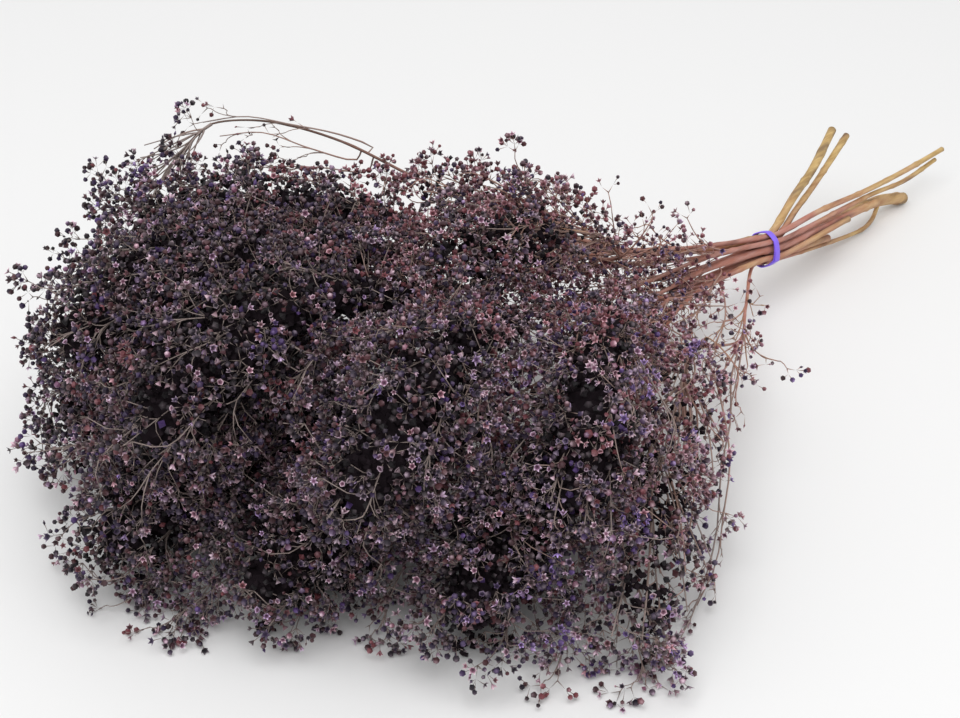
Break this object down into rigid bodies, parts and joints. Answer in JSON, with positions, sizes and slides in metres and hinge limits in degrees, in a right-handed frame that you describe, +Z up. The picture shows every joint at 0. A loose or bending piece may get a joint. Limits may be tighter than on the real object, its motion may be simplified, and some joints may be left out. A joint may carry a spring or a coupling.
{
  "type": "dried broom bloom bunch",
  "caption": "Dried, dyed bunch of broom bloom lying on its side, dark purple pods on thin stems held by a violet rubber band.",
  "frame": {"origin": "middle of the bunch's box, on the surface that it lies on", "axes": "+X along the bunch towards the cut ends of the stems, +Z up from the surface"},
  "size_m": [0.6052, 0.3826, 0.1532],
  "materials": {
    "stem": "dry bark, dyed reddish brown near the blooms and tan at the cut ends",
    "bloom": "dry dyed seed pods, dull, charcoal to dark plum with violet accents",
    "band": "smooth satin violet"
  },
  "bodies": {
    "root": {"stem_thick_upper": "stem", "stem_slim_upper": "stem", "stem_long_upper": "stem", "stem_long_lower": "stem", "stem_thickest": "stem", "stem_olive": "stem", "stem_short_olive": "stem", "stem_pink": "stem", "stem_hidden": "stem", "rubber_band": "band", "spray_low_back": "bloom", "spray_low_far_left": "bloom", "spray_low_left": "bloom", "spray_low_front": "bloom", "spray_low_front_right": "bloom", "spray_low_right": "bloom", "spray_right_near": "bloom", "spray_high_far": "bloom", "spray_high_left": "bloom", "spray_high_middle": "bloom", "spray_high_front": "bloom", "spray_high_right": "bloom", "spray_crown_back": "bloom", "spray_crown_front": "bloom", "spray_arch": "bloom"}
  },
  "joints": []
}
